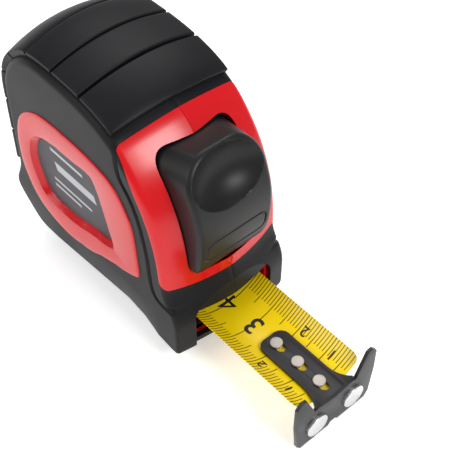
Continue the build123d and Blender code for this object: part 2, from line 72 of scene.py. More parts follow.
def pick(piece):
    """Make a piece the only selected and the active object."""
    pick_none()
    piece.select_set(True)
    bpy.context.view_layer.objects.active = piece


def points_of(piece):
    """The piece's points as an array, in millimetres."""
    flat = np.empty(len(piece.data.vertices) * 3)
    piece.data.vertices.foreach_get("co", flat)
    return flat.reshape(-1, 3) / MM


def put_points(piece, points):
    """Send the piece's points to new places, in millimetres."""
    piece.data.vertices.foreach_set("co", (np.asarray(points) * MM).ravel())
    piece.data.update()


def sheet(name, across, along, place):
    """A grid whose points go to place(u, v), for every u in across and v in along."""
    pick_none()
    bpy.ops.mesh.primitive_grid_add(x_subdivisions=len(across) - 1,
                                    y_subdivisions=len(along) - 1, size=1)
    piece = bpy.context.object
    piece.name = name
    flat = points_of(piece) * MM + 0.5
    column = np.rint(flat[:, 0] * (len(across) - 1)).astype(int)
    row = np.rint(flat[:, 1] * (len(along) - 1)).astype(int)
    put_points(piece, np.stack(place(np.asarray(across)[column], np.asarray(along)[row]), axis=1))
    return piece


def modify(piece, kind, **settings):
    """Add a modifier and apply it."""
    pick(piece)
    added = piece.modifiers.new(kind.title(), kind)
    for setting, value in settings.items():
        setattr(added, setting, value)
    bpy.ops.object.modifier_apply(modifier=added.name)
    return piece


def wall(piece, thickness, offset=-1.0):
    """Give a sheet its thickness, in millimetres."""
    return modify(piece, "SOLIDIFY", thickness=thickness * MM, offset=offset,
                  use_quality_normals=True)


def cut(piece, *cutters):
    """Cut the space of each cutter out of a piece."""
    for cutter in cutters:
        modify(piece, "BOOLEAN", object=cutter, operation="DIFFERENCE", solver="MANIFOLD")
    return piece


def remove(*pieces):
    """Take helper pieces out of the scene."""
    for piece in pieces:
        bpy.data.objects.remove(piece)


def tidy_mesh(piece, reach=0.004):
    """Merge doubled points and turn every face outwards."""
    pick(piece)
    bpy.ops.object.mode_set(mode="EDIT")
    bpy.ops.mesh.select_all(action="SELECT")
    bpy.ops.mesh.remove_doubles(threshold=reach * MM)
    bpy.ops.mesh.normals_make_consistent(inside=False)
    bpy.ops.object.mode_set(mode="OBJECT")
    return piece


def close_openings(piece):
    """Fill every open border of a mesh with a face."""
    pick(piece)
    bpy.ops.object.mode_set(mode="EDIT")
    bpy.ops.mesh.select_all(action="DESELECT")
    bpy.ops.mesh.select_non_manifold()
    bpy.ops.mesh.edge_face_add()
    bpy.ops.object.mode_set(mode="OBJECT")
    return piece


def smooth(piece, degrees=30):
    """Shade a piece smooth, and keep edges sharper than an angle crisp."""
    pick(piece)
    bpy.ops.object.shade_smooth_by_angle(angle=math.radians(degrees))
    return piece


def copy_of(piece, name):
    """A copy with its own mesh."""
    twin = piece.copy()
    twin.data = piece.data.copy()
    twin.name = name
    twin.parent = None
    for key in [k for k in twin.keys() if k.startswith("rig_")]:
        del twin[key]
    twin.hide_render = twin.hide_viewport = False
    bpy.context.scene.collection.objects.link(twin)
    return twin


def broken_edges(node, name, edge):
    """A copy of a frame part with its sharp edges rounded, edge mm wide."""
    twin = copy_of(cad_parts[node], name)
    tidy_mesh(twin, 0.01)
    modify(twin, "DECIMATE", decimate_type="DISSOLVE", angle_limit=math.radians(1.5))
    modify(twin, "BEVEL", width=edge * MM, segments=3, limit_method="ANGLE",
           angle_limit=math.radians(40), use_clamp_overlap=True)
    return smooth(twin, 35)


def mirrored(piece, name):
    """The same piece on the other side of the middle plane."""
    twin = copy_of(piece, name)
    put_points(twin, points_of(twin) * (1, -1, 1))
    pick(twin)
    bpy.ops.object.mode_set(mode="EDIT")
    bpy.ops.mesh.select_all(action="SELECT")
    bpy.ops.mesh.flip_normals()
    bpy.ops.object.mode_set(mode="OBJECT")
    return twin


def joined(pieces, name):
    """Several pieces made into one object."""
    pick_none()
    for piece in pieces:
        piece.select_set(True)
    bpy.context.view_layer.objects.active = pieces[0]
    bpy.ops.object.join()
    pieces[0].name = name
    return pieces[0]


def slab(name, across, along, place, bottom):
    """A closed plate: a top sheet whose border is folded down to a bottom sheet."""
    across = np.concatenate([across[:1], across, across[-1:]])
    along = np.concatenate([along[:1], along, along[-1:]])

    def top_place(column, row):
        column, row = column.astype(int), row.astype(int)
        border = (column == 0) | (column == len(across) - 1) | (row == 0) | (row == len(along) - 1)
        return place(across[column], along[row], np.where(border, bottom, 0.0))

    top = sheet(name, np.arange(len(across)), np.arange(len(along)), top_place)
    base = sheet(name, across[1:-1], along[1:-1], lambda u, v: place(u, v, bottom))
    return tidy_mesh(joined([top, base], name))


def prism(name, outline, start, end, axis):
    """A block with a given outline, from start to end along axis 0 (X), 1 (Y) or 2 (Z)."""
    pick_none()
    bpy.ops.mesh.primitive_circle_add(vertices=len(outline), radius=1, fill_type="NGON")
    block = bpy.context.object
    block.name = name
    put_points(block, np.insert(np.asarray(outline, float), axis, start, axis=1))
    bpy.ops.object.mode_set(mode="EDIT")
    bpy.ops.mesh.select_all(action="SELECT")
    reach = [0, 0, 0]
    reach[axis] = (end - start) * MM
    bpy.ops.mesh.extrude_region_move(TRANSFORM_OT_translate={"value": reach})
    bpy.ops.mesh.select_all(action="SELECT")
    bpy.ops.mesh.normals_make_consistent(inside=False)
    bpy.ops.object.mode_set(mode="OBJECT")
    return block


def disc(name, radius, thickness, centre, axis, edge, sides=48):
    """A round plug with softened edges, its middle at centre."""
    turn = {0: (0, math.pi / 2, 0), 1: (math.pi / 2, 0, 0), 2: (0, 0, 0)}[axis]
    pick_none()
    bpy.ops.mesh.primitive_cylinder_add(vertices=sides, radius=radius * MM,
                                        depth=thickness * MM, rotation=turn,
                                        location=Vector(centre) * MM)
    plug = bpy.context.object
    plug.name = name
    bpy.ops.object.transform_apply(location=True, rotation=True, scale=True)
    return modify(plug, "BEVEL", width=edge * MM, segments=3, limit_method="ANGLE")


print("helpers for objects ready")

# %% Helpers for outlines
def rounded(corners, steps=8):
    """A closed outline from corners (a, b, radius), each rounded off."""
    spots = np.array([corner[:2] for corner in corners], float)
    found = []
    for number, (here, corner) in enumerate(zip(spots, corners)):
        back = spots[number - 1] - here
        on = spots[(number + 1) % len(spots)] - here
        first = here + back * min(corner[2] / np.linalg.norm(back), 0.49)
        last = here + on * min(corner[2] / np.linalg.norm(on), 0.49)
        for t in np.linspace(0, 1, steps):
            found.append((1 - t) ** 2 * first + 2 * t * (1 - t) * here + t * t * last)
    return np.array(found)


def ramp(value):
    """A soft step from 0 to 1."""
    t = np.clip(value, 0, 1)
    return t * t * (3 - 2 * t)


def softened(line, steps):
    """An open line of points made smooth, with even steps."""
    line = np.array(line, float)
    walked = np.concatenate([[0], np.cumsum(np.linalg.norm(np.diff(line, axis=0), axis=1))])
    even = np.stack([np.interp(np.linspace(0, walked[-1], steps), walked, line[:, k])
                     for k in (0, 1)], axis=1)
    for _ in range(12):
        even[1:-1] = (even[:-2] + 2 * even[1:-1] + even[2:]) / 4
    return even


def away_from(points, line):
    """Distance of each point from an open line of points."""
    best = np.full(len(points), 1e9)
    for first, last in zip(line[:-1], line[1:]):
        run = np.subtract(last, first)
        share = np.clip((points - first) @ run / (run @ run), 0, 1)
        best = np.minimum(best, np.linalg.norm(points - first - share[:, None] * run, axis=1))
    return best


print("helpers for outlines ready")

# %% [markdown]
# ## The form of the case
# Everything outside follows one side outline, so it is written once. The outline is sampled
# evenly, softened a little, and every place on the skin is then named by two lengths: how far
# along the outline, and how far from the middle plane over the rounded edge.

# %% Side outline
case_low, case_high = size_of("overmould_left")
grip_low, grip_high = size_of("top_grip")
half_width = -case_low.y
back, nose, crest = case_low.x, case_high.x, case_high.z
grip_rise = grip_high.z - crest

case_corners = [
    (back + 9, 0, 3), (nose, 0, 0.7), (nose, 11.8, 2.5), (nose - 1.1, 17, 3), (nose - 3, 22, 3),
    (nose - 3.2, 29, 4), (nose - 4.2, 36.5, 4), (nose - 6.2, 43.8, 4), (nose - 10, 52, 5),
    (nose - 15.8, 59.3, 4), (nose - 21.2, crest - 6.2, 4), (nose - 28, crest - 2.9, 4),
    (nose - 36, crest - 0.9, 5), (nose - 45, crest, 5), (back + 13.5, crest, 9.5),
    (back, crest - 13.5, 9.5), (back, 12, 4),
]
SPACING = 0.25
rough = rounded(case_corners, 16)
rough = np.vstack([rough, rough[:1]])
walk = np.concatenate([[0], np.cumsum(np.linalg.norm(np.diff(rough, axis=0), axis=1))])
count = int(walk[-1] / SPACING)
even = np.stack([np.interp(np.arange(count) * walk[-1] / count, walk, rough[:, k])
                 for k in (0, 1)], axis=1)
SOFTEN = 3
window = np.exp(-0.5 * (np.arange(-12, 13) / SOFTEN) ** 2)
window /= window.sum()
outline = sum(weight * np.roll(even, shift, axis=0)
              for shift, weight in zip(range(-12, 13), window))
outline[:, 1] = np.maximum(outline[:, 1], 0)
heading = np.roll(outline, -2, axis=0) - np.roll(outline, 2, axis=0)
heading /= np.linalg.norm(heading, axis=1)[:, None]
outward = np.stack([heading[:, 1], -heading[:, 0]], axis=1)
around = count * walk[-1] / count
print("outline", count, "points,", round(around), "mm round")


def at(table, s):
    """Read a table kept along the outline at the lengths s."""
    place = np.mod(s / around * count, count)
    low = np.floor(place).astype(int)
    share = place - low
    if table.ndim == 2:
        share = share[:, None]
    return table[low % count] * (1 - share) + table[(low + 1) % count] * share


def station(x, z):
    """The length along the outline nearest a place."""
    return np.argmin(np.hypot(outline[:, 0] - x, outline[:, 1] - z)) * around / count


# %% Skin of the case
ROOF = 3.2              # how far the front, top and back fall from the middle to the edge
NOSE_BOW = 2.4          # the same, in plan, for the upright nose
RIDGE = 0.42            # share of that fall which is straight, so the halves meet in a ridge
EDGE_LOW, EDGE_HIGH = 0.8, 2.3
height = outline[:, 1]
roof_table = ROOF * ramp((height - 11) / 12)
edge_table = EDGE_LOW + (EDGE_HIGH - EDGE_LOW) * ramp((height - 10) / 14)
grip_start, grip_end = station(nose - 23.9, crest - 4.9), station(back, grip_low.z)
lengths = np.arange(count) * around / count
ridge_table = RIDGE * (1 - ramp((lengths - grip_start) / 2))
waist_x = [-20, -13.8, -3.8, 12.4, 20.4, 28.1, 36]
waist_half = [18.3, 18.0, 17.5, 16.7, 17.3, 18.8, half_width - 0.1]
WAIST_TOP = 13.0


def fall(share, ridge):
    """Share of the fall at a share of the half width."""
    return ridge * share + (1 - ridge) * share ** 2


def warp(x, y, z):
    """Bow the nose forward in its middle and draw the sides in above the base."""
    bow = NOSE_BOW * ramp((x - 24) / 15) * (1 - ramp((z - 11) / 12))
    share = np.clip(1 - z / WAIST_TOP, 0, 1) ** 1.6
    narrow = 1 - np.interp(x, waist_x, waist_half) / half_width
    return x - bow * fall(y / half_width, RIDGE), y * (1 - narrow * share), z


def section(s):
    """Sizes of the cross section at s: fall, edge radius, ridge, slope and end of the roof."""
    roof, edge, ridge = at(roof_table, s), at(edge_table, s), at(ridge_table, s)
    slope = np.arctan(roof * (2 - ridge) / half_width)
    return roof, edge, ridge, slope, half_width - edge * (1 - np.sin(slope))


def skin(s, w, lift=0.0):
    """The place w mm from the middle plane, over the edge, lift mm off the skin."""
    roof, edge, ridge, slope, flat = section(s)
    centre, normal = at(outline, s), at(outward, s)
    turned = np.clip((w - flat) / edge, 0, math.pi / 2 - slope) + slope
    before = w < flat
    share = np.clip(w / flat, 0, 1)
    tilt = np.where(before, np.arctan(roof * (ridge + 2 * (1 - ridge) * share) / flat), turned)
    inward = np.maximum(w - flat - edge * (math.pi / 2 - slope), 0)
    depth = roof * fall(share, ridge) + inward - lift * np.cos(tilt)
    depth = depth + np.where(before, 0, edge * (np.cos(slope) - np.cos(turned)))
    y = np.where(before, w, flat + edge * (np.sin(turned) - np.sin(slope))) + lift * np.sin(tilt)
    return warp(centre[:, 0] - normal[:, 0] * depth, y, centre[:, 1] - normal[:, 1] * depth)


def over(s, inset):
    """How far from the middle plane a line lies that runs inset mm in on the flat side."""
    roof, edge, ridge, slope, flat = section(s)
    return flat + edge * (math.pi / 2 - slope) + inset - roof - edge * np.cos(slope)


def edge_end(s):
    """How far from the middle plane the edge's rounding ends."""
    roof, edge, ridge, slope, flat = section(s)
    return flat + edge * (math.pi / 2 - slope)


print("half width", round(half_width, 2), "mm, grip from", round(grip_start), "mm along")

# %% [markdown]
# ## Openings
# The mouth, the button's window and the screw holes go through several skins, so each cutter
# is made once, used on all of them and removed at the end.

# %% Cutters
MOUTH_HALF, MOUTH_FLOOR, MOUTH_SIDE, MOUTH_TOP = 13.4, 4.3, 11.5, 18.0


def arch(margin):
    """Outline of the mouth, smaller by a margin."""
    half = MOUTH_HALF - margin
    crown = [(half * math.cos(a), MOUTH_SIDE - margin + (MOUTH_TOP - MOUTH_SIDE) * math.sin(a))
             for a in np.linspace(0, math.pi, 32)]
    return [(half, MOUTH_FLOOR)] + crown + [(-half, MOUTH_FLOOR)]


def frame_of(low, high, half, radius, steps=8):
    """A rounded rectangle in (y, z)."""
    return rounded([(half, low, radius), (half, high, radius),
                    (-half, high, radius), (-half, low, radius)], steps)


button_half = size_of("lock_button")[1].y
BUTTON_FOOT, BUTTON_TOP, FIT = 26.1, 61.4, 0.3
HEAD_STEP = 1.9         # the window's head lies this far under the cap's
SEAT_ROUND = 5.0
mouth_cutter = prism("mouth_cutter", arch(0), nose - 9, nose + 5, 0)
inner_mouth_cutter = prism("inner_mouth_cutter", arch(1.0), nose - 12, nose + 5, 0)
lip_cutter = prism("lip_cutter", [(-MOUTH_HALF, -1), (MOUTH_HALF, -1),
                                  (MOUTH_HALF, 2.7), (-MOUTH_HALF, 2.7)], nose - 3, nose + 5, 0)
window_outline = frame_of(BUTTON_FOOT - FIT, BUTTON_TOP - HEAD_STEP + FIT, button_half + FIT,
                          SEAT_ROUND)
window_cutter = prism("window_cutter", window_outline, 16.2, nose + 5, 0)
screw_spots = [(-26.33, 57.85), (-30.0, 15.0), (19.0, 15.5), (12.6, 58.2)]
bearings = np.linspace(0, 2 * math.pi, 33)[:-1]
circle = np.stack([np.cos(bearings), np.sin(bearings)], axis=1)
SCREW_HOLE, SCREW_SEAT = 2.45, 16.1
screw_cutters = [prism("screw_cutter", circle * SCREW_HOLE + spot, SCREW_SEAT, 22, 1)
                 for spot in screw_spots]
cutters = [mouth_cutter, inner_mouth_cutter, lip_cutter, window_cutter, *screw_cutters]
print("cutters", len(cutters))

# %% [markdown]
# ## Soft overmould
# The black rubber wraps the whole case in two halves that meet on the middle plane. Each half
# is one sheet that starts at the seam, goes over the rounded edge and across the flat side,
# and stops under the red ring. The groove that parts the two raised frames is pressed in.

# %% Ring outline on the side
ring_corners = [
    (22.3, 19.8, 1.6), (21.9, 30, 4), (20.9, 38.8, 3), (16.9, 45.6, 3), (12.9, 48.9, 3),
    (5, 50.7, 4), (-2.4, 51.2, 4), (-18, 51, 6), (-27, 45, 5), (-30.5, 36, 5),
    (-30.5, 24, 5), (-25, 13, 6), (-10.3, 9.1, 6), (8.3, 15.3, 4),
]
pane_corners = [
    (10.8, 22.9, 1.4), (7.9, 32.4, 4), (5.2, 41, 1.2), (3.8, 43.2, 1.2), (-4.8, 42.3, 3),
    (-16, 42.0, 4), (-22, 38, 3), (-24, 30, 4), (-20, 19.4, 4), (-9.2, 18.8, 4),
    (0.5, 21.2, 3),
]
MIDDLE = np.array((-6.0, 31.0))


def reach_of(corners):
    """A table from bearing round the ring's middle to distance."""
    spots = rounded(corners, 10) - MIDDLE
    bearing = np.arctan2(spots[:, 1], spots[:, 0])
    order = np.argsort(bearing)
    return bearing[order], np.hypot(spots[:, 0], spots[:, 1])[order]


def on_ring(table, bearing, less=0.0):
    """Places at the given bearings, less mm nearer the middle."""
    reach = np.interp(bearing, table[0], table[1], period=2 * math.pi) - less
    return MIDDLE[0] + reach * np.cos(bearing), MIDDLE[1] + reach * np.sin(bearing)


ring_table, pane_table = reach_of(ring_corners), reach_of(pane_corners)
print("ring reaches", ring_table[1].max().round(1), "mm, its window",
      pane_table[1].max().round(1), "mm")

# %% Rubber halves
frame_groove = [(15.8, 66), (16.4, 58), (16.7, 52), (20.9, 49), (24, 41.6), (26.2, 31.2),
                (26.7, 20.6), (27.6, 17.2), (30.6, 16.0), (34.8, 17.0), (38.5, 17.6)]
frame_groove = softened(frame_groove, 60)
GROOVE_DEPTH, GROOVE_HALF = 0.85, 0.8
SEAM = 0.14
RUBBER_WALL = 1.5


def rubber_place(s, t):
    """t runs 0 to 1 over the rounded edge, then 1 to 2 across the flat side to the ring."""
    turn = edge_end(s)
    lift = np.where(t < 0.001, -SEAM, 0.0)
    x, y, z = skin(s, np.minimum(t, 1) * turn, lift)
    bearing = np.arctan2(z - MIDDLE[1], x - MIDDLE[0])
    ring_x, ring_z = on_ring(ring_table, bearing, 1.2)
    share = np.clip(t - 1, 0, 1)
    x, z = x + (ring_x - x) * share, z + (ring_z - z) * share
    flat = share > 0
    waisted = warp(x, np.full_like(x, half_width), z)[1]
    y = np.where(flat, waisted, y)
    near = away_from(np.stack([x, z], axis=1), frame_groove)
    dent = GROOVE_DEPTH * (1 - ramp((near - 0.15) / GROOVE_HALF)) * ramp((y - 14) / 3)
    return x, y - dent, z


round_rows = [0, 0.012, 0.08, 0.2, 0.34, 0.48, 0.6, 0.7, 0.77, 0.82, 0.855, 0.885, 0.91, 0.935,
              0.96, 0.98]
flat_rows = list(1 + np.linspace(0, 1, 44) ** 0.9)
columns = np.linspace(0, around, 520)
rubber = sheet("rubber_right", columns, round_rows + flat_rows, rubber_place)
tidy_mesh(rubber)
wall(rubber, RUBBER_WALL)
tidy_mesh(rubber, 0.001)
cut(rubber, mouth_cutter, lip_cutter, window_cutter)
rubber_left = mirrored(rubber, "rubber_left")
cut(rubber, *screw_cutters)
for piece in (rubber, rubber_left):
    smooth(piece, 32)
print("rubber faces", len(rubber.data.polygons))

# %% [markdown]
# Over the mouth a thin dark lip closes the arch down to the blade. It is one sheet that goes
# round a plate's front, lower edge and back, bent in plan with the nose.

# %% Lip of the mouth
LIP_DROP, LIP_BACK, LIP_HALF = 12.8, 0.45, 12.9
front_line = outline[(outline[:, 0] > 30) & (outline[:, 1] > 0.5) & (outline[:, 1] < 30)]
front_line = front_line[np.argsort(front_line[:, 1])]


def lip_place(y, corner):
    """An upright plate in the arch: 0 top front, 1 and 2 lower edge, 3 top back."""
    side = np.abs(y)
    crown = MOUTH_SIDE + (MOUTH_TOP - MOUTH_SIDE) * np.sqrt(1 - (side / MOUTH_HALF) ** 2)
    low = np.minimum(LIP_DROP + 0.9 * (side / 12) ** 2, crown - 0.3)
    top = (corner < 0.5) | (corner > 2.5)
    z = np.where(top, crown + 0.5, low + np.where(np.abs(corner - 1.5) > 0.4, 0.25, 0))
    front = np.interp(z, front_line[:, 1], front_line[:, 0])
    roof = ROOF * ramp((z - 11) / 12) * fall(side / half_width, RIDGE)
    sink = LIP_BACK + np.where(corner > 1.5, 1.6, np.where(corner > 1.2, 0.35, 0))
    seam = np.where((side < 0.12) & (corner < 1.5), SEAM, 0)
    return warp(front, side, z)[0] - roof - sink - seam, y, z


lip_run = np.unique(np.concatenate([np.linspace(-LIP_HALF, LIP_HALF, 61), [-0.2, 0.2]]))
lip = sheet("mouth_lip", lip_run, [0, 1, 1.3, 1.7, 3, 0], lip_place)
tidy_mesh(lip)
tidy_mesh(close_openings(lip))
smooth(lip, 45)
print("lip faces", len(lip.data.polygons))

# %% [markdown]
# ## Hard shells
# Under the rubber lies the hard red shell. It shows in the mouth, round the button and in the
# front panel and side rings. The inner shell is a coarser sheet on the same form; the panel
# comes up through the rubber and stands a hair proud of it.

# %% Inner shells
SHELL_SINK, SHELL_WALL = 1.62, 1.8


def shell_place(s, t):
    """The rubber's form, shrunk a little on each axis."""
    x, y, z = skin(s, np.minimum(t, 1) * edge_end(s))
    bearing = np.arctan2(z - MIDDLE[1], x - MIDDLE[0])
    pane_x, pane_z = on_ring(pane_table, bearing, -1.0)
    share = np.clip(t - 1, 0, 1)
    x, z = x + (pane_x - x) * share, z + (pane_z - z) * share
    return (x * (1 - SHELL_SINK / nose), y * (1 - SHELL_SINK / half_width),
            (z - crest / 2) * (1 - 2 * SHELL_SINK / crest) + crest / 2)


shell = sheet("shell_right", np.linspace(0, around, 180),
              [0, 0.3, 0.5, 0.65, 0.75, 0.85, 0.93, 1, 1.3, 1.6, 2], shell_place)
tidy_mesh(shell)
wall(shell, SHELL_WALL)
tidy_mesh(shell, 0.001)
cut(shell, inner_mouth_cutter, lip_cutter, window_cutter)
shell_left = mirrored(shell, "shell_left")
cut(shell, *screw_cutters)
for piece in (shell, shell_left):
    smooth(piece, 32)
print("shell faces", len(shell.data.polygons))

# %% [markdown]
# The glossy front panel is the shell coming up between the two rubber frames. It could be cut
# from a thick shell, but a plate of its own keeps its rows along its rounded corners, so the
# gloss runs clean to the edge. It is made in two halves that meet in a fine seam.

# %% Front panel halves
PANEL_INSET, PANEL_TAPER, PANEL_PROUD = 5.3, 1.9, 0.22
FOOT_CORNER, HEAD_CORNER = 3.2, 1.6
panel_foot, panel_head = station(nose - 3.2, 22.5), station(nose - 21.6, crest - 6.2)


def panel_place(s, t, sunk):
    """t runs from 0 on the seam to 1 at the edge that lies on the side."""
    run = (s - panel_foot) / (panel_head - panel_foot)
    foot = panel_foot + 1.0 * t ** 3
    head = panel_head - 0.3 * t ** 2
    s = foot + (head - foot) * run
    inset = PANEL_INSET - PANEL_TAPER * (1 - ramp((head - s) / 16))
    for corner, near_end in ((FOOT_CORNER, s - foot), (HEAD_CORNER, head - s)):
        bite = np.clip(corner - near_end, 0, corner)
        inset = inset - (corner - np.sqrt(corner ** 2 - bite ** 2))
    lift = PANEL_PROUD - np.where(t < 0.001, SEAM, 0.0)
    return skin(s, t * over(s, inset), np.where(sunk < 0, sunk, lift))


ends = np.array([0, 0.1, 0.25, 0.5, 0.8, 1.2, 1.7, 2.4, 3.2, 4.2])
panel_run = np.concatenate([panel_foot + ends,
                            np.linspace(panel_foot + 5.0, panel_head - 5.0, 100),
                            panel_head - ends[::-1]])
panel_rows = np.concatenate([[0, 0.01], np.linspace(0.04, 0.6, 12), np.linspace(0.62, 1, 40)])
PANEL_BOTTOM = -1.0
panel = slab("panel_right", panel_run, panel_rows, panel_place, PANEL_BOTTOM)
cut(panel, window_cutter)
panel_left = mirrored(panel, "panel_left")
for piece in (panel, panel_left):
    smooth(piece, 35)
print("panel faces", len(panel.data.polygons))

# %% [markdown]
# Each side carries a red ring whose inner edge slopes down to the label. Its outer and inner
# outlines differ in shape, so the sheet runs round them by bearing from one middle: the outer
# part of its profile follows one outline, and the inner part the other.

# %% Side rings
# (mm in from the outline, height over the side)
outer_profile = [
    (0.0, -0.9), (0.0, 0.0), (0.12, 0.25), (0.4, 0.38), (1.2, 0.42), (2.4, 0.42),
]
# (mm out from the window's outline, height over the side)
inner_profile = [(1.9, 0.38), (1.5, 0.28), (0.5, -0.75), (0.25, -0.9), (0.0, -1.3), (0.0, -2.0)]


def ring_place(bearing, step):
    """Across the ring: steps of the outer profile, then of the inner one."""
    step = step.astype(int)
    full = outer_profile + inner_profile
    less = np.array([entry[0] for entry in full])[step]
    height = np.array([entry[1] for entry in full])[step]
    outer = on_ring(ring_table, bearing, less)
    inner = on_ring(pane_table, bearing, -less)
    first = step < len(outer_profile)
    return (np.where(first, outer[0], inner[0]), half_width + height,
            np.where(first, outer[1], inner[1]))


ring = sheet("side_ring_right", np.linspace(0, 2 * math.pi, 361),
             np.arange(len(outer_profile) + len(inner_profile)), ring_place)
tidy_mesh(ring)
wall(ring, 0.6)
tidy_mesh(ring, 0.001)
ring_left = mirrored(ring, "side_ring_left")
for piece in (ring, ring_left):
    smooth(piece, 28)
print("ring faces", len(ring.data.polygons))

# %% Labels
LABEL_FACE = half_width - 1.25


def label_piece(name, side):
    """A plate that fills the ring's window."""
    spots = np.stack(on_ring(pane_table, np.linspace(0, 2 * math.pi, 121)[:-1], 0.05), axis=1)
    plate = prism(name, spots, side * (LABEL_FACE - 0.4), side * LABEL_FACE, 1)
    tidy_mesh(plate)
    return smooth(plate, 30)


label_left, label_right = label_piece("side_label_left", -1), label_piece("side_label_right", 1)
print("label faces", len(label_left.data.polygons))

# %% [markdown]
# ## Ribbed grip
# Thick soft pads run over the top and down the back, parted by narrow grooves. The rows and
# columns of one sheet are bunched at every edge of a pad, so that its corners stay crisp and
# its middle stays flat, and the sheet drops to the rubber between pads.

# %% Grip
GRIP_HALF = size_of("top_grip")[1].y - 0.02
PAD_EDGE = [(0.0, -0.1), (0.0, 0.72), (0.06, 0.86), (0.2, 0.96), (0.45, 1.0)]
PAD_GAP = 0.75
pad_starts = [grip_start, station(2.3, crest), station(-9.4, crest), station(-21.3, crest)]
pad_count = 4
rest_pitch = (grip_end + PAD_GAP - pad_starts[-1]) / (pad_count + 1)
pad_starts += [pad_starts[-1] + rest_pitch * step for step in range(1, pad_count + 2)]


def pad_profile(first, last, inset, steps, scale=1.0):
    """Places across one pad with their shares of its height, bunched at both edges."""
    rise = [(first + reach / scale, share) for reach, share in PAD_EDGE]
    top = [(inner, 1.0) for inner in np.linspace(first + inset, last - inset, steps)]
    drop = [(last - reach / scale, share) for reach, share in PAD_EDGE[::-1]]
    return rise + top + drop


pads = [pad_profile(first, following - PAD_GAP, 1.0, 9)
        for first, following in zip(pad_starts[:-1], pad_starts[1:])]
grip_columns, grip_heights = np.array([entry for pad in pads for entry in pad]).T
grip_rows, row_heights = np.array(pad_profile(-1, 1, 0.07, 45, 26)).T


def grip_place(column, row):
    """Over the top by column, across the tool by row."""
    column, row = column.astype(int), row.astype(int)
    s = grip_columns[column]
    w = grip_rows[row] * (GRIP_HALF - 0.5)
    lift = grip_rise * np.minimum(grip_heights[column], row_heights[row])
    x, y, z = skin(s, np.abs(w), lift)
    return x, np.minimum(y, GRIP_HALF) * np.sign(w), z


grip = sheet("ribbed_grip", np.arange(len(grip_columns)), np.arange(len(grip_rows)), grip_place)
tidy_mesh(grip)
wall(grip, 0.5)
tidy_mesh(grip, 0.0005)
smooth(grip, 40)
print("grip faces", len(grip.data.polygons), "pads", len(pad_starts) - 1)

# %% [markdown]
# ## Thumb lock
# The button is a thick cap: a front that leans back towards the top, a scooped thumb dish, and
# a lower plate with a fine outlined panel. Its front is a sheet over a rounded rectangle; the
# border is then drawn back into the case, and the two lever arms below it are kept from the
# frame's own part.

# %% Button cap
cap_front = softened([(35.5, 26.1), (36.9, 28), (37.8, 31), (38.3, 34), (38.6, 40), (38.6, 46),
                      (35.4, 54), (31.6, 61.4)], 30)
FOOT_ROUND, HEAD_ROUND, LIP = 3.6, 8.5, 1.4
PLATE_Z, PLATE_TALL, PLATE_WIDE, PLATE_ROUND = 35.2, 3.3, 9.9, 2.4
GROOVE_SINK, GROOVE_WIDE = 0.45, 0.36
BORDER_BACK, BORDER_END = 2.6, 32.5     # the border lies behind the panel, and no nearer than this
HEAD_SLOPE, SLOPE_FROM = 0.29, 50       # the border sinks towards the head, so the cap can rock
panel_line = outline[(outline[:, 0] > 12) & (outline[:, 1] > 15)]
panel_line = panel_line[np.argsort(panel_line[:, 1])]


def button_place(u, v):
    """u and v run -1 to 1 across and up the cap; past 1 the border is drawn into the case."""
    drawn = (np.abs(u) > 1) | (np.abs(v) > 1)
    half, tall = button_half, (BUTTON_TOP - BUTTON_FOOT) / 2
    corner = np.where(v < 0, FOOT_ROUND, np.where(drawn, SEAT_ROUND, HEAD_ROUND))
    side, rise = np.clip(u, -1, 1) * half, np.clip(v, -1, 1) * tall
    a = np.maximum(np.abs(side) - (half - corner), 0)
    b = np.maximum(np.abs(rise) - (tall - corner), 0)
    a2 = a * np.sqrt(1 - 0.5 * (b / corner) ** 2)
    b2 = b * np.sqrt(1 - 0.5 * (a / corner) ** 2)
    y = np.sign(side) * (np.minimum(np.abs(side), half - corner) + a2)
    up = np.sign(rise) * (np.minimum(np.abs(rise), tall - corner) + b2)
    z = up + (BUTTON_FOOT + BUTTON_TOP) / 2
    inside = np.where((a > 0) & (b > 0), corner - np.hypot(a2, b2),
                      np.minimum(half - np.abs(y), tall - np.abs(up)))
    bite = np.clip(LIP - inside, 0, LIP)
    x = np.interp(z, cap_front[:, 1], cap_front[:, 0]) - (LIP - np.sqrt(LIP ** 2 - bite ** 2))
    past_side = np.maximum(np.abs(y) - PLATE_WIDE + PLATE_ROUND, 0)
    past_end = np.maximum(np.abs(z - PLATE_Z) - PLATE_TALL + PLATE_ROUND, 0)
    from_plate = np.abs(np.hypot(past_side, past_end) - PLATE_ROUND)
    x = x - GROOVE_SINK * np.clip(1 - from_plate / GROOVE_WIDE, 0, 1)
    behind = np.interp(z, panel_line[:, 1], panel_line[:, 0]) - BORDER_BACK
    lower = z - np.clip(z - SLOPE_FROM, 0, 12) * HEAD_SLOPE
    return (np.where(drawn, np.minimum(behind, BORDER_END), x), y, np.where(drawn, lower, z))


fine = np.array([0.992, 0.997, 0.9992, 1, 1.001])
rows = np.unique(np.concatenate([np.linspace(-0.985, 0.985, 188), fine, -fine]))
columns = np.unique(np.concatenate([np.linspace(-0.985, 0.985, 124), fine, -fine]))
cap = sheet("lock_button_cap", columns, rows, button_place)
tidy_mesh(cap, 0.0005)
tidy_mesh(close_openings(cap), 0.001)
print("cap faces", len(cap.data.polygons))

# %% [markdown]
# The thumb dish is a shallow hollow, wider than it is tall, and deeper at its foot than at its
# head. A squashed sphere that leans with the front is cut out of the cap, which leaves the
# crisp rim of the real one.

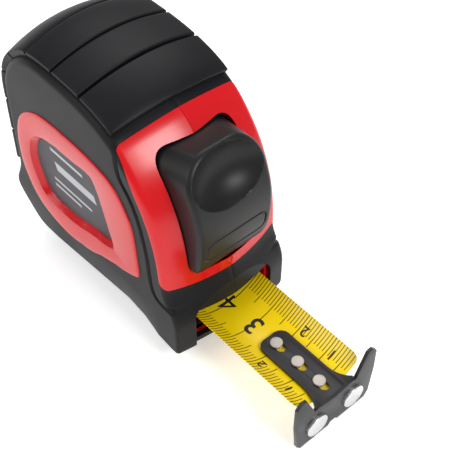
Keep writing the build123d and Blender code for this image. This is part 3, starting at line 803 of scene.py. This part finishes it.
# %% Thumb dish
DISH_MIDDLE, DISH_LEAN = (35.3, 54.2), math.radians(26)
DISH_WIDE, DISH_TALL, DISH_DEEP = 11.2, 8.7, 4.6
pick_none()
bpy.ops.mesh.primitive_uv_sphere_add(segments=96, ring_count=64, radius=1)
ball = bpy.context.object
BALL = 14.5
cap_depth = BALL - math.sqrt(BALL ** 2 - DISH_WIDE ** 2)
squash = (DISH_DEEP / cap_depth, 1, DISH_TALL / DISH_WIDE)
ball_points = points_of(ball) * MM * BALL * squash
ball_points[:, 0] += (BALL - cap_depth) * squash[0]
lean = Matrix.Rotation(-DISH_LEAN, 3, "Y")
put_points(ball, ball_points @ np.array(lean).T + (DISH_MIDDLE[0], 0, DISH_MIDDLE[1]))
cut(cap, ball)
remove(ball)
print("dish", DISH_WIDE * 2, "mm wide")

# %% Lever arms
arms = copy_of(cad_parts["lock_button"], "lever_arms")
tidy_mesh(arms, 0.01)
ARM_CUT, ARM_LIFT = BUTTON_FOOT - 0.3, 1.5
bpy.ops.object.mode_set(mode="EDIT")
bpy.ops.mesh.select_all(action="SELECT")
bpy.ops.mesh.bisect(plane_co=(0, 0, ARM_CUT * MM), plane_no=(0, 0, 1), clear_outer=True,
                    use_fill=True)
bpy.ops.object.mode_set(mode="OBJECT")
arm_points = points_of(arms)
arm_points[arm_points[:, 2] > ARM_CUT - 0.01, 2] += ARM_LIFT    # up into the cap
put_points(arms, arm_points)
button = joined([cap, arms], "thumb_lock")
smooth(button, 35)
print("button faces", len(button.data.polygons))

# %% [markdown]
# ## Blade, hook and rivets
# The steel blade keeps its hollow section. Its sheet carries the printed scale as an attribute
# in millimetres from the hook, so the ink follows the metal. The hook is the frame's own part
# with its edges broken, and the rivets and magnets are turned plugs.

# %% Blade
blade_low, blade_high = size_of("blade")
hook_high = size_of("hook")[1]
BLADE_CURVE, BLADE_GAUGE = 16.4, 0.2
scale_zero = hook_high.x - 1.0
blade_edge_z = blade_high.z
half_angle = math.asin((blade_high.y - 0.12) / BLADE_CURVE)
curve_z = blade_edge_z + BLADE_CURVE * math.cos(half_angle)
TIP_CORNER = 2.2


def blade_place(x, angle):
    """x along the blade, angle across its hollow."""
    flat = BLADE_CURVE * angle
    to_edge = BLADE_CURVE * half_angle - np.abs(flat)
    bite = np.clip(TIP_CORNER - to_edge, 0, TIP_CORNER)
    cut_back = TIP_CORNER - np.sqrt(TIP_CORNER ** 2 - bite ** 2)
    near_tip = ramp((x - (blade_high.x - 4)) / 4)
    return (x - cut_back * near_tip, BLADE_CURVE * np.sin(angle),
            curve_z - BLADE_CURVE * np.cos(angle))


blade = sheet("printed_blade", np.linspace(blade_low.x, blade_high.x, 90),
              np.linspace(-half_angle, half_angle, 61), blade_place)
tidy_mesh(blade)
wall(blade, BLADE_GAUGE)
tidy_mesh(blade, 0.001)
places = points_of(blade)
printed = blade.data.attributes.new("scale", "FLOAT_VECTOR", "POINT")
arc = BLADE_CURVE * np.arctan2(places[:, 1], curve_z - places[:, 2])
printed.data.foreach_set("vector", np.stack(
    [scale_zero - places[:, 0], arc, curve_z - places[:, 2]], axis=1).ravel())
smooth(blade, 40)
print("blade faces", len(blade.data.polygons))

# %% [markdown]
# The numbers are printed ink. A font's shapes made into a mesh, cut fine and laid on the
# hollow of the blade a hair above the lacquer, stay sharp at any distance.

# %% Numbers
INK_LIFT = 0.03


def number_piece(text, height, x, y):
    """A printed number that lies on the hollow of the blade, its top towards -Y."""
    pick_none()
    bpy.ops.object.text_add()
    letters = bpy.context.object
    letters.data.body = text
    letters.data.size = 1.0
    letters.data.align_x = "CENTER"
    letters.data.resolution_u = 4
    letters.data.offset = 0.0 if text == "4" else 0.014
    bpy.ops.object.convert(target="MESH")
    number = bpy.context.object
    number.name = f"scale_number_{text}"
    bpy.ops.object.mode_set(mode="EDIT")
    bpy.ops.mesh.select_all(action="SELECT")
    bpy.ops.mesh.quads_convert_to_tris()
    bpy.ops.mesh.subdivide(number_cuts=3)
    bpy.ops.object.mode_set(mode="OBJECT")
    shape = points_of(number) * MM
    shape -= (shape.max(axis=0) + shape.min(axis=0)) / 2
    shape *= height / np.ptp(shape[:, 1])
    flat_y = y - shape[:, 1]
    angle = flat_y / BLADE_CURVE
    reach = BLADE_CURVE - INK_LIFT
    put_points(number, np.stack([x - shape[:, 0], reach * np.sin(angle),
                                 curve_z - reach * np.cos(angle)], axis=1))
    wall(number, 0.012)
    return number


numbers = []
for place in range(1, 7):
    if place < 3:
        for side in (-1, 1):
            numbers.append(number_piece(str(place), 3.0, scale_zero - 10 * place + 1.75,
                                        side * 8.1))
    else:
        numbers.append(number_piece(str(place), 6.0, scale_zero - 10 * place + 0.4, 0.0))
print("numbers", len(numbers))

# %% [markdown]
# The hook is bent steel sheet. Its shape in the frame is already right, so a copy gets broken
# edges only. The rivets and magnets are round, so they are built from softened plugs.

# %% Hook
hook = broken_edges("hook", "end_hook", 0.22)
print("hook faces", len(hook.data.polygons))

# %% Rivets and magnets
rivet_low, rivet_high = size_of("blade_rivets")
RIVET_FIRST, RIVET_PITCH = 5.0, 7.9
plugs = []
for step in range(3):
    x = scale_zero - RIVET_FIRST - RIVET_PITCH * step
    plugs.append(disc("rivet", 1.72, 0.62, (x, 0, rivet_high.z - 0.28), 2, 0.22))
    plugs.append(disc("shank", 1.2, 2.0, (x, 0, rivet_high.z - 1.3), 2, 0.05))
    plugs.append(disc("tail", 1.7, 0.35, (x, 0, rivet_low.z + 0.175), 2, 0.1))
rivets = smooth(joined(plugs, "hook_rivets"), 35)
magnet_low, magnet_high = size_of("hook_magnets")
magnet_middle = (magnet_low + magnet_high) / 2
magnets = [disc("magnet", 3.48, magnet_high.x - magnet_low.x,
                (magnet_middle.x, y, magnet_middle.z), 0, 0.18, 64) for y in (-6.6, 6.6)]
magnets = smooth(joined(magnets, "round_magnets"), 35)
print("rivet faces", len(rivets.data.polygons), "magnet faces", len(magnets.data.polygons))

# %% [markdown]
# The lock spring sits behind the dish, which is deeper here than in the frame. Its coils are
# drawn at their length with the button pressed, so they stay inside at every place of the
# button. The belt clip is a bent steel strap, again only with broken edges.

# %% Lock spring
SPRING_SQUEEZE = 0.74
spring = copy_of(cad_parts["lock_spring"], "pressed_spring")
coils = points_of(spring)
spring_foot = coils[:, 0].min()
coils[:, 0] = spring_foot + (coils[:, 0] - spring_foot) * SPRING_SQUEEZE
put_points(spring, coils)
tidy_mesh(spring, 0.002)
smooth(spring, 50)
print("spring", round(float(np.ptp(coils[:, 0])), 1), "mm long")

# %% Belt clip
clip = broken_edges("belt_clip", "spring_clip", 0.2)
remove(*cutters)
print("clip faces", len(clip.data.polygons))

# %% [markdown]
# ## Materials
# Shader maths reads best as plain Python, so one class wraps a socket and turns + - * / into
# Math nodes. Another holds one material and adds any other node.

# %% Shader helpers
class Value:
    """A number socket that Python arithmetic works on."""

    def __init__(self, tree, socket):
        self.tree, self.socket = tree, socket

    def math(self, operation, *others):
        """A Math node on this number and up to two others."""
        node = self.tree.nodes.new("ShaderNodeMath")
        node.operation = operation
        for slot, value in zip(node.inputs, (self, *others)):
            if isinstance(value, Value):
                self.tree.links.new(value.socket, slot)
            else:
                slot.default_value = value
        return Value(self.tree, node.outputs[0])

    def __add__(self, other):
        return self.math("ADD", other)

    def __sub__(self, other):
        return self.math("SUBTRACT", other)

    def __mul__(self, other):
        return self.math("MULTIPLY", other)

    def __truediv__(self, other):
        return self.math("DIVIDE", other)

    def __rsub__(self, other):
        return (self * -1.0) + other

    __radd__, __rmul__ = __add__, __mul__

    def below(self, limit, soft):
        """1 where the value is under the limit, 0 over it, with a soft edge."""
        return ((limit - self) / soft + 0.5).math("MINIMUM", 1.0).math("MAXIMUM", 0.0)


class Finish:
    """One material: its Principled shader, and a method that adds any other node."""

    def __init__(self, name, color, roughness, **sockets):
        self.material = bpy.data.materials.new(name)
        self.material.use_nodes = True
        self.tree = self.material.node_tree
        self.shader = self.tree.nodes["Principled BSDF"]
        self.shader.inputs["Base Color"].default_value = (*color, 1)
        self.shader.inputs["Roughness"].default_value = roughness
        for socket, value in sockets.items():
            self.shader.inputs[socket.replace("_", " ")].default_value = value
        self.material.diffuse_color = (*color, 1)

    def node(self, kind, settings=None, sockets=None):
        """Any node, with its settings first and then the values or links of its sockets."""
        node = self.tree.nodes.new(kind)
        for setting, value in (settings or {}).items():
            setattr(node, setting, value)
        for socket, value in (sockets or {}).items():
            if isinstance(value, Value):
                value = value.socket
            if hasattr(value, "is_linked"):
                self.tree.links.new(value, node.inputs[socket])
            else:
                node.inputs[socket].default_value = value
        return node

    def place(self):
        """The piece's own coordinates, in metres."""
        return self.node("ShaderNodeTexCoord").outputs["Object"]

    def noise(self, per_metre, detail=2.0, rough=0.5, vector=None):
        """Soft noise from 0 to 1."""
        made = self.node("ShaderNodeTexNoise", None,
                         {"Scale": per_metre, "Detail": detail, "Roughness": rough,
                          "Vector": vector or self.place()})
        return Value(self.tree, made.outputs["Fac"])

    def feed(self, socket, value):
        """Let a value vary over the surface."""
        link = value.socket if isinstance(value, Value) else value
        self.tree.links.new(link, self.shader.inputs[socket])

    def bump(self, height, strength, distance):
        """Grain that tilts the light, distance in mm."""
        made = self.node("ShaderNodeBump", None, {"Strength": strength, "Distance": distance * MM,
                                                  "Height": height})
        self.feed("Normal", made.outputs["Normal"])

    def blend(self, share, first, second):
        """A colour between two, by a share from 0 to 1."""
        made = self.node("ShaderNodeMix", {"data_type": "RGBA"},
                         {"Factor": share, 6: first, 7: second})
        return made.outputs[2]


print("shader helpers ready")

# %% [markdown]
# The rubber is matt with a fine moulded grain, the red shell is glossy plastic with a faint
# flow in it, and the button is satin black. Each is one shader whose roughness, colour and
# grain vary a little with noise, because no moulded part is quite even.

# %% Plastics and rubber
rubber_black = Finish("rubber_black", (0.007, 0.007, 0.008), 0.5, Specular_IOR_Level=0.16)
grain = rubber_black.noise(1500, 3)
patches = rubber_black.noise(90, 2)
rubber_black.bump(grain, 0.35, 0.05)
rubber_black.feed("Roughness", patches * 0.12 + 0.4)
rubber_black.feed("Base Color", rubber_black.blend(patches, (0.005, 0.005, 0.006, 1),
                                                   (0.01, 0.01, 0.012, 1)))

red_gloss = Finish("red_gloss", (0.6, 0.002, 0.006), 0.22, Specular_IOR_Level=0.4)
flow = red_gloss.noise(60, 2)
red_gloss.bump(flow, 0.05, 0.4)
red_gloss.feed("Roughness", red_gloss.noise(400, 2) * 0.06 + 0.17)
red_gloss.feed("Base Color", red_gloss.blend(flow, (0.56, 0.001, 0.004, 1),
                                             (0.62, 0.002, 0.007, 1)))

button_black = Finish("button_black", (0.01, 0.01, 0.011), 0.38, Specular_IOR_Level=0.26)
button_black.bump(button_black.noise(2600, 2), 0.3, 0.03)
button_black.feed("Roughness", button_black.noise(140, 2) * 0.1 + 0.34)
button_black.feed("Base Color", button_black.blend(button_black.noise(70),
                                                   (0.007, 0.007, 0.0075, 1),
                                                   (0.012, 0.012, 0.0125, 1)))

inner_plastic = Finish("inner_plastic", (0.05, 0.05, 0.055), 0.5)
inner_plastic.bump(inner_plastic.noise(1200, 2), 0.2, 0.04)
inner_plastic.feed("Roughness", inner_plastic.noise(200) * 0.15 + 0.42)
print("plastics", len(bpy.data.materials))

# %% [markdown]
# The label is dark printed film. Plain slanted bars stand in for its print. They are drawn
# from the piece's own coordinates, so they need no picture.

# %% Label
label_grey = Finish("label_grey", (0.05, 0.05, 0.06), 0.4, Specular_IOR_Level=0.22)
spot = label_grey.node("ShaderNodeSeparateXYZ", None, {0: label_grey.place()})
side_x, side_z = (Value(label_grey.tree, spot.outputs[k]) for k in (0, 2))


def bar(x_low, x_high, z_low, z_high):
    """A slanted bar on the label."""
    lean = side_x + side_z * 0.35
    wide = lean.below((x_high + z_low * 0.35) * MM, 0.1 * MM) \
        * (1 - lean.below((x_low + z_low * 0.35) * MM, 0.1 * MM))
    return wide * side_z.below(z_high * MM, 0.1 * MM) * (1 - side_z.below(z_low * MM, 0.1 * MM))


light_bars = bar(-14, 3.6, 31.8, 34.6) + bar(-16, 1.0, 27.2, 28.0) + bar(-16, -4.0, 24.9, 25.7) \
    + bar(-16, -1.6, 38.0, 39.0)
label_grey.feed("Base Color", label_grey.blend(light_bars, (0.042, 0.042, 0.05, 1),
                                               (0.45, 0.45, 0.48, 1)))
label_grey.feed("Roughness", label_grey.noise(300) * 0.08 + 0.38)
print("label nodes", len(label_grey.tree.nodes))

# %% [markdown]
# The blade is yellow lacquer with a printed scale. Each printed line is a narrow band in the
# blade's own millimetres: one every millimetre from both edges, longer at each half and whole
# centimetre.

# %% Blade lacquer and ink
BLADE_FLAT = BLADE_CURVE * half_angle
lacquer = Finish("blade_lacquer", (0.9, 0.66, 0.004), 0.32, Specular_IOR_Level=0.4)
read = lacquer.node("ShaderNodeAttribute", {"attribute_name": "scale"})
parts = lacquer.node("ShaderNodeSeparateXYZ", None, {0: read.outputs["Vector"]})
along, across, depth = (Value(lacquer.tree, parts.outputs[k]) for k in (0, 1, 2))
from_edge = BLADE_FLAT - across.math("ABSOLUTE")


def marks(pitch, length, width, first=0.0):
    """Lines at every pitch mm, from the blade's edge in, length mm long."""
    off = ((along + first) / pitch + 0.5).math("FRACT") - 0.5
    line = (off.math("ABSOLUTE") * pitch).below(width / 2, 0.09)
    return line * from_edge.below(length, 0.12)


ticks = marks(1.0, 5.3, 0.24).math("MAXIMUM", marks(5.0, 7.3, 0.26))
long_lines = marks(10.0, 10.2, 0.28)
ink = ticks.math("MAXIMUM", long_lines) * depth.below(BLADE_CURVE + 0.05, 0.05)
ink = ink * (1 - along.below(2.4, 0.2))
shade = lacquer.noise(45, 3)
yellow = lacquer.blend(shade, (0.88, 0.62, 0.002, 1), (0.93, 0.68, 0.004, 1))
lacquer.feed("Base Color", lacquer.blend(ink, yellow, (0.02, 0.018, 0.012, 1)))
lacquer.feed("Roughness", lacquer.noise(500) * 0.1 + 0.26)
lacquer.bump(lacquer.noise(900, 2), 0.08, 0.02)

ink_black = Finish("ink_black", (0.016, 0.015, 0.012), 0.42)
ink_black.feed("Roughness", ink_black.noise(900) * 0.1 + 0.38)

# The coil is yellow lacquer. Its dark rings are painted shade in the gaps between its turns.
coil_yellow = Finish("coil_lacquer_painted_gap_shade", (0.7, 0.5, 0.02), 0.35)
turn_gap_shade = coil_yellow.node("ShaderNodeTexWave", {"wave_type": "RINGS", "rings_direction": "Y"},
                         {"Vector": coil_yellow.place(), "Scale": 900.0})
coil_yellow.feed("Base Color", coil_yellow.blend(Value(coil_yellow.tree, turn_gap_shade.outputs["Fac"]),
                                                 (0.2, 0.15, 0.02, 1), (0.75, 0.53, 0.02, 1)))
print("lacquer nodes", len(lacquer.tree.nodes))

# %% [markdown]
# The hook is blackened steel, the rivets are dull turned steel, the magnets are speckled
# nickel, and the springs and pins are brushed along their length.

# %% Metals
hook_black = Finish("hook_black", (0.014, 0.013, 0.015), 0.4, Specular_IOR_Level=0.4)
hook_black.bump(hook_black.noise(700, 3), 0.18, 0.05)
hook_black.feed("Roughness", hook_black.noise(220) * 0.12 + 0.36)
hook_black.feed("Base Color", hook_black.blend(hook_black.noise(110), (0.012, 0.011, 0.013, 1),
                                               (0.02, 0.019, 0.022, 1)))

rivet_steel = Finish("rivet_steel", (0.5, 0.46, 0.42), 0.5, Metallic=0.45)
rivet_steel.bump(rivet_steel.noise(900, 3), 0.15, 0.04)
rivet_steel.feed("Roughness", rivet_steel.noise(700, 2) * 0.16 + 0.44)

magnet_nickel = Finish("magnet_nickel", (0.66, 0.65, 0.66), 0.25, Metallic=0.9)
speckle = magnet_nickel.noise(2600, 3, 0.7)
magnet_nickel.bump(speckle, 0.25, 0.05)
magnet_nickel.feed("Roughness", speckle * 0.25 + 0.15)
magnet_nickel.feed("Base Color", magnet_nickel.blend(speckle, (0.5, 0.49, 0.5, 1),
                                                     (0.8, 0.79, 0.8, 1)))

spring_steel = Finish("spring_steel", (0.55, 0.56, 0.58), 0.3, Metallic=1.0)
stretch = spring_steel.node("ShaderNodeMapping", None, {0: spring_steel.place(),
                                                        3: (60.0, 60.0, 4.0)})
brushed = spring_steel.noise(60, 4, 0.6, stretch.outputs[0])
spring_steel.bump(brushed, 0.12, 0.05)
spring_steel.feed("Roughness", brushed * 0.25 + 0.2)
print("materials", len(bpy.data.materials))

# %% [markdown]
# ## Putting it together
# Each piece gets its finish and rides on the body it belongs to, and the frame parts it stands for
# are hidden.

# %% Pieces on bodies
def wear(piece, finish):
    """Give a piece one finish all over."""
    piece.data.materials.clear()
    piece.data.materials.append(finish.material)


pieces = [
    (rubber_left, rubber_black, "case", "black_rubber", ["overmould_left"]),
    (rubber, rubber_black, "case", "black_rubber", ["overmould_right"]),
    (grip, rubber_black, "case", "black_rubber", ["top_grip"]),
    (lip, button_black, "case", "black_rubber", []),
    (shell_left, red_gloss, "case", "red_shell", ["case_left"]),
    (shell, red_gloss, "case", "red_shell", ["case_right"]),
    (panel_left, red_gloss, "case", "red_shell", []),
    (panel, red_gloss, "case", "red_shell", []),
    (ring_left, red_gloss, "case", "red_shell", []),
    (ring, red_gloss, "case", "red_shell", []),
    (label_left, label_grey, "case", "label", ["label_left"]),
    (label_right, label_grey, "case", "label", ["label_right"]),
    (button, button_black, "button", "button_black", ["lock_button"]),
    (blade, lacquer, "blade", "blade_yellow", ["blade"]),
    (hook, hook_black, "hook", "black_steel", ["hook"]),
    (rivets, rivet_steel, "blade", "rivet_steel", ["blade_rivets"]),
    (magnets, magnet_nickel, "hook", "magnet", ["hook_magnets"]),
    (clip, spring_steel, "case", "spring_steel", ["belt_clip"]),
    (spring, spring_steel, "case", "spring_steel", ["lock_spring"]),
]
for number in numbers:
    pieces.append((number, ink_black, "blade", "blade_yellow", []))
for piece, finish, body, slot, stands_for in pieces:
    wear(piece, finish)
    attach(piece, body)
    if stands_for:
        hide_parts(*stands_for)

node_finishes = {
    "blade_guide": inner_plastic, "reel_post": inner_plastic, "reel_drum": inner_plastic,
    "drum_cover": inner_plastic, "blade_coil": coil_yellow, "power_spring": spring_steel,
    "brake_pads": rubber_black, "lock_pin": spring_steel,
    "case_screws": hook_black, "clip_screw": hook_black,
}
for node, finish in node_finishes.items():
    wear(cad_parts[node], finish)
print("pieces", len(pieces), "kept nodes", len(node_finishes))

# %% [markdown]
# ## Floor, light and camera
# A pale floor, a soft sky, a small soft light in front of the tool, a larger one at the left and
# one behind keep the gloss readable on red and black plastic.

# %% Floor
floor_z = min(size_of("hook")[0].z, 0) - 0.02
pick_none()
bpy.ops.mesh.primitive_plane_add(size=6, location=(0, 0, floor_z * MM))
floor = bpy.context.object
floor.name = "floor"
floor_finish = Finish("floor_white", (0.9, 0.9, 0.9), 0.9, Emission_Color=(1, 1, 1, 1),
                      Emission_Strength=0.45)
wear(floor, floor_finish)

print("floor at", round(floor_z, 2), "mm")

# %% Light
world = bpy.data.worlds.new("soft_sky")
world.use_nodes = True
sky = world.node_tree.nodes["Background"].inputs
sky["Color"].default_value = (1, 1, 1, 1)
sky["Strength"].default_value = 0.42
bpy.context.scene.world = world


def soft_light(name, direction, distance, size, watts):
    """A square soft light that faces the tool."""
    light = bpy.data.lights.new(name, "AREA")
    light.shape = "SQUARE"
    light.size = size
    light.energy = watts
    lamp = bpy.data.objects.new(name, light)
    aim = Vector(direction).normalized()
    target = Vector((0.015, 0, 0.035))
    lamp.location = target + aim * distance
    lamp.rotation_euler = aim.to_track_quat("Z", "Y").to_euler()
    bpy.context.scene.collection.objects.link(lamp)
    return lamp


soft_light("front_light", (0.71, 0.07, 0.66), 0.7, 0.24, 2.6)
soft_light("left_light", (-0.35, -0.9, 0.75), 0.8, 0.5, 2.2)
soft_light("back_light", (-0.5, 0.5, 1.0), 0.8, 0.5, 2.6)
print("lights", len(bpy.data.lights))

# %% Camera
CAMERA = Vector((164.3, -115.9, 225.9)) * MM
AZIMUTH, ELEVATION = math.radians(48.38), math.radians(47.43)
camera_data = bpy.data.cameras.new("camera")
camera_data.lens = 82.0
camera_data.sensor_width = 36.0
camera_data.clip_start = 0.01
camera = bpy.data.objects.new("camera", camera_data)
camera.location = CAMERA
toward = Vector((math.sin(AZIMUTH) * math.cos(ELEVATION),
                 -math.cos(AZIMUTH) * math.cos(ELEVATION), math.sin(ELEVATION)))
camera.rotation_mode = "QUATERNION"
camera.rotation_quaternion = (-toward).to_track_quat("-Z", "Y")
bpy.context.scene.collection.objects.link(camera)
bpy.context.scene.camera = camera
print("camera", round(CAMERA.length, 3), "m from the case's middle")

# %% Colour view
bpy.context.scene.view_settings.view_transform = "Standard"
